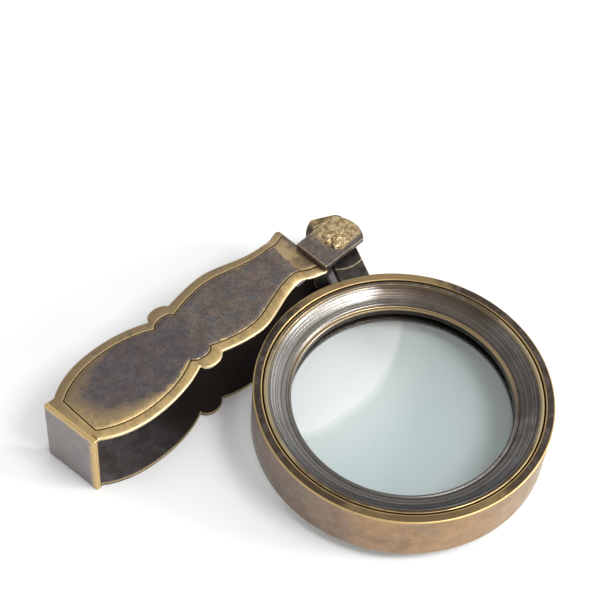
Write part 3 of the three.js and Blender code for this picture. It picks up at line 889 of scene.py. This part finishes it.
def plate_mesh(name, rim_drop, spread):
    """One plate: a grid with the engraved line cut in, a rounded rim, and a plain underside. Outside up.

    At the neck the near rim is rolled down by rim_drop, and at the waist the near edge is spread."""
    flat, panel, index = plate_grid(spread)
    rim, outline, normal = outline_of(flat, index)
    x, near = flat[:, 0], flat[:, 1] < 0
    to_line = distance_to_engraving(flat)
    to_edge = distance_to_path(flat, list(outline) + [outline[0]])
    border = np.clip(1 - to_edge / BORDER_WIDTH, 0, 1)

    waves = [noise.noise(Vector((*(p * WAVE_SCALE), 3.1))) for p in flat]
    rolled = smooth(x, *ROLL[0]) * (1 - 0.6 * smooth(x, *ROLL[1])) * near
    top = np.array(waves) * WAVE_HEIGHT + lip_height(x) - rim_drop * rolled * border ** 1.5
    rim_top = top - BORDER_FALL * border ** 2
    underside = top - PLATE_THICKNESS
    cut = GROOVE_DEPTH * np.clip(1 - to_line / GROOVE_HALF, 0, 1)

    vertices, values = [], []

    def put(xy, z, *attributes):
        vertices.append((xy[0], xy[1], z))
        values.append(attributes)
        return len(vertices) - 1

    inset = dict(zip(rim, outline - normal * RIM_RADIUS))
    places = [inset.get(i, xy) for i, xy in enumerate(flat)]
    for i, place in enumerate(places):
        put(place, rim_top[i] - cut[i], to_edge[i], to_line[i], panel[i], 1)
    for i, place in enumerate(places):
        put(place, underside[i], FAR_OFF, FAR_OFF, 1, 0)
    faces = []
    under = len(flat)
    for this, following in zip(index.tolist(), index[1:].tolist()):
        for c in range(len(this) - 1):
            corners = (this[c], this[c + 1], following[c + 1], following[c])
            faces.append(corners)
            faces.append(tuple(i + under for i in reversed(corners)))
    # Down the rim: (inset and step up in rim radii, from which height, edge_mm, outside)
    rim_steps = ((0.3, -0.3, rim_top, 0, 1), (0, -1, rim_top, 0, 1),
                 (0, 0.8, underside, 0.3, 1), (0.4, 0.25, underside, 0.3, 0.4))
    loops = [[int(i) for i in rim]]
    for inward, up, height, edge_mm, outside in rim_steps:
        places = outline - normal * RIM_RADIUS * inward
        loops.append([put(places[k], height[i] + RIM_RADIUS * up, edge_mm, FAR_OFF, 0, outside)
                      for k, i in enumerate(rim)])
    loops.append([int(i) + under for i in rim])
    for upper, lower in zip(loops, loops[1:]):
        for k in range(len(rim)):
            n = (k + 1) % len(rim)
            faces.append((upper[k], upper[n], lower[n], lower[k]))
    mesh = mesh_from(name, [Vector(v) * MM for v in vertices], faces)
    columns = list(zip(*values)) + [[v[0] for v in vertices]]
    for label, column in zip(PLATE_ATTRIBUTES, columns):
        layer = mesh.attributes.new(label, "FLOAT", "POINT")
        layer.data.foreach_set("value", column)
    return outward(mesh, weld=False)


def make_plates():
    material = patina_plate_material()
    upper = ("plate_upper", "handle_plate_upper", HANDLE_TOP, 0.6, 0)
    lower = ("plate_lower", "handle_plate_lower", 0, 0, 0.4)
    for name, node, top, rim_drop, spread in (upper, lower):
        mesh = plate_mesh(name, rim_drop, spread)
        if top == 0:
            turn_over(mesh)
        plate = new_piece(name, mesh, "handle", material, node)
        plate.location = HANDLE_ORIGIN + Vector((0, 0, top))


make_plates()


# ---- end wall, ears and washers

WALL_ROUNDING = 0.3 * MM
EAR_ROUNDING = 0.25 * MM
WASHER_ROUNDING = 0.15


def make_end_wall():
    mesh = softened_copy("handle_end_wall", WALL_ROUNDING)
    wall = new_piece("end_wall", mesh, "handle", patina_wall_material(), "handle_end_wall")
    add_weighted_normals(wall)


def make_ears():
    material = ear_material()
    for name, node in (("ear_upper", "hinge_ear_upper"), ("ear_lower", "hinge_ear_lower")):
        ear = new_piece(name, softened_copy(node, EAR_ROUNDING), "handle", material, node)
        add_weighted_normals(ear)


def make_washers():
    material = ring_material("washer_brass", WASHER_WALL, BRASS_BROWN, WASHER_EDGE, 0.9, 0.5, DARK_AXIS)
    for side in ("upper", "lower"):
        low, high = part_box(f"hinge_washer_{side}")
        half = (high.z - low.z) / 2 / MM
        outside = (high.x - low.x) / 2 / MM
        bore = outside / 2
        section = [(bore, -half), (outside, -half), (outside, half), (bore, half)]
        mesh = lathe(f"washer_{side}", rounded(section, WASHER_ROUNDING), 96, True)
        washer = new_piece(f"washer_{side}", mesh, "handle", material, f"hinge_washer_{side}")
        washer.location = (low + high) / 2


make_end_wall()
make_ears()
make_washers()


# ---- rivet

PIN_RADIUS = 2.2 * MM
HEAD_SINK = 0.05 * MM
RAGGED, RAGGED_SCALE = 0.22, 1.9  # of the head's outline, in head radii
DENTS, DENT_SCALE = 0.28, 3.2  # of its top, in head heights


def make_rivet():
    """The pin with a head that was hammered out over the ear: low, uneven and ragged in outline."""
    low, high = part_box("hinge_rivet")
    head_radius = (high.x - low.x) / 2
    head_low = HANDLE_TOP - HEAD_SINK
    head_height = high.z - head_low
    segments, steps = 120, 26
    vertices = []
    for i in range(segments):
        angle = 2 * math.pi * i / segments
        c, s = math.cos(angle), math.sin(angle)
        outline = noise.noise(Vector((c * RAGGED_SCALE, s * RAGGED_SCALE, 0.4)))
        radius = head_radius * (1.08 + RAGGED * outline)
        ring = [(PIN_RADIUS, 0), (PIN_RADIUS, head_low), (radius, head_low)]
        for k in range(steps):
            share = 1 - (k + 1) / (steps + 1)
            dome = head_height * (0.15 + 0.45 * (1 - share ** 2))
            place = Vector((c * share * DENT_SCALE, s * share * DENT_SCALE, 1.7))
            dents = noise.fractal(place, 0.8, 2.0, 4) * head_height * DENTS
            height = min(max(dome + dents, 0.08 * head_height), head_height * 0.97)
            ring.append((radius * share, head_low + height))
        vertices += [(r * c, r * s, z) for r, z in ring]
    rings = steps + 3
    faces = turned_faces(segments, rings, False)
    faces.append(tuple(i * rings for i in range(segments)))
    faces.append(tuple(i * rings + rings - 1 for i in range(segments)))
    mesh = outward(mesh_from("rivet", vertices, faces))
    rivet = new_piece("rivet", mesh, "handle", rivet_material(), "hinge_rivet")
    rivet.location = (PIVOT.x, PIVOT.y, 0)


make_rivet()


# ---- lens arm

ARM_ROUNDING = 0.35 * MM
ARM_END = 0.75 * MM  # the arm's points this close to the ring are moved
ARM_RUN_IN = 0.8 * MM  # this far towards the ring's middle


def make_arm():
    """The arm in a frame of its own, X from the pin to the lens, run on a little into the ring's wall."""
    mesh = softened_copy("lens_arm", ARM_ROUNDING)
    for vertex in mesh.vertices:
        offset = vertex.co - RING_CENTRE
        offset.z = 0
        if offset.length < RING_RADIUS + ARM_END:
            vertex.co -= offset.normalized() * ARM_RUN_IN
    place = Matrix.Translation(PIVOT) @ Matrix.Rotation(ARM_ANGLE, 4, "Z")
    mesh.transform(place.inverted())
    arm = new_piece("arm", mesh, "lens_unit", arm_material(), "lens_arm")
    arm.matrix_local = place
    add_weighted_normals(arm)


make_arm()


# ---- lens ring

FRAME_BORE = 37.5
RIB_BORE = 35
RIB_HALF_HEIGHT = 1.7
RETAINER_BORE = 36.0
RETAINER_DEPTH = 3.2
OPENING = 29.7
BEZEL_DISH = 3.4
LENS_HALF_EDGE = 1.5 * MM


def make_ring():
    radius, face = RING_RADIUS / MM, RING_FACE / MM
    body = [
        (FRAME_BORE, -face), (radius, -face), (radius, face), (FRAME_BORE, face),
        (FRAME_BORE, RIB_HALF_HEIGHT), (RIB_BORE, RIB_HALF_HEIGHT),
        (RIB_BORE, -RIB_HALF_HEIGHT), (FRAME_BORE, -RIB_HALF_HEIGHT),
    ]
    aged = ring_material("aged_ring", RING_WALL, BRASS_FACE, BRASS_WORN, 0.95, 0.6, DARK_AXIS)
    turned_piece("ring_frame", rounded(body, 0.42, 5), aged, "lens_frame")

    top = face - 0.12
    outside = FRAME_BORE - 0.22
    retainer = [
        (RETAINER_BORE, face - RETAINER_DEPTH), (outside, face - RETAINER_DEPTH), (outside, top - 0.35),
        (outside - 0.3, top), (RETAINER_BORE + 0.35, top), (RETAINER_BORE, top - 0.2),
    ]
    bright = ring_material("bright_ring", BRASS_OLIVE, RETAINER_FACE, BRASS_WORN, 0.85, 0.95,
                           RETAINER_AXIS, 36.9 * MM)
    seat = RIB_HALF_HEIGHT + 0.25
    shoulder = face - RETAINER_DEPTH - 0.1
    rim = RETAINER_BORE - 0.05
    lip = face - BEZEL_DISH
    bezel = [
        (OPENING, seat + 0.5), (RIB_BORE - 1, seat), (outside, seat), (outside, shoulder),
        (rim, shoulder), (rim, top - 0.3), (rim - 0.35, top - 0.45), (rim - 0.8, top - 0.85),
        (rim - 2.8, face - 2.35), (rim - 3.8, face - 2.7), (rim - 4.6, face - 2.95),
        (OPENING + 1.1, lip - 0.16), (OPENING + 0.8, lip - 0.16),
        (OPENING + 0.62, lip), (OPENING + 0.25, lip), (OPENING, lip - 0.25),
    ]
    turned = turned_material()
    for side, flip in (("upper", False), ("lower", True)):
        turned_piece(f"retainer_{side}", rounded(retainer, 0.2), bright,
                     f"retaining_ring_{side}", flip=flip)
        turned_piece(f"dish_{side}", rounded(bezel, 0.12), turned,
                     f"bezel_{side}", flip=flip)


def make_lens():
    low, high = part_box("lens")
    radius, half = (high.x - low.x) / 2, (high.z - low.z) / 2
    sag = half - LENS_HALF_EDGE
    steps = 48
    upper = [(radius * k / steps, half - sag * (k / steps) ** 2, 0) for k in range(steps + 1)]
    profile = upper + [(r, -z, 0) for r, z, _ in reversed(upper)]
    turned_piece("glass", profile, glass_material(), "lens", closed=False)


make_ring()
make_lens()


# ---- floor and light

FLOOR_HALF = 3
FLOOR_GAP = 0.2 * MM  # under the part, so that the two never touch


def make_floor():
    corners = [(x * FLOOR_HALF, y * FLOOR_HALF, 0) for x, y in ((-1, -1), (1, -1), (1, 1), (-1, 1))]
    mesh = mesh_from("floor", corners, [(0, 1, 2, 3)])
    floor = add_object("floor", mesh)
    floor.location.z = -FLOOR_GAP
    tree = Tree("pale_floor")
    paint = tree.add("BsdfPrincipled", {"Base Color": FLOOR_WHITE, "Roughness": 0.7})
    mesh.materials.append(tree.finish_with(paint))


KEY_SIDE = (0.64, -0.77, 0)
KEY_DIRECTION = Vector((0.11, -0.5, 0.859))
KEY_POWER = 2.8
KEY_SIZE = 0.26
SIDE_DIRECTION = Vector((0.55, -0.72, 0.42))
SIDE_POWER = 2.6
SIDE_SIZE = 0.16
LIGHT_DISTANCE = 0.8
ROOM_TURN = 0.75  # the room goes from its dark to its bright side between minus this and this
ROOM_DARK = 0.54
ROOM_BRIGHT = 1.08


def area_light(name, direction, size, power):
    """A square soft light that is turned to the part's middle."""
    aim = (cad_bounds[0] + cad_bounds[1]) / 2
    place = aim + direction * LIGHT_DISTANCE
    data = bpy.data.lights.new(name, "AREA")
    data.size = size
    data.energy = power
    light = add_object(name, data)
    light.location = place
    light.rotation_mode = "QUATERNION"
    light.rotation_quaternion = (aim - place).to_track_quat("-Z", "Y")


def make_light():
    """A white room that is brighter on the key light's side, and two soft lights."""
    world = bpy.data.worlds.new("studio")
    world.use_nodes = True
    nodes, links = world.node_tree.nodes, world.node_tree.links
    direction = nodes.new("ShaderNodeTexCoord").outputs["Generated"]
    across = nodes.new("ShaderNodeVectorMath")
    across.operation = "DOT_PRODUCT"
    across.inputs[1].default_value = KEY_SIDE
    links.new(direction, across.inputs[0])
    strength = nodes.new("ShaderNodeMapRange")
    strength.interpolation_type = "SMOOTHSTEP"
    limits = {"From Min": -ROOM_TURN, "From Max": ROOM_TURN, "To Min": ROOM_DARK, "To Max": ROOM_BRIGHT}
    for name, value in limits.items():
        strength.inputs[name].default_value = value
    links.new(across.outputs["Value"], strength.inputs["Value"])
    background = nodes["Background"]
    background.inputs["Color"].default_value = WHITE
    links.new(strength.outputs["Result"], background.inputs["Strength"])
    bpy.context.scene.world = world
    area_light("key", KEY_DIRECTION, KEY_SIZE, KEY_POWER)
    area_light("side", SIDE_DIRECTION, SIDE_SIZE, SIDE_POWER)


make_floor()
make_light()
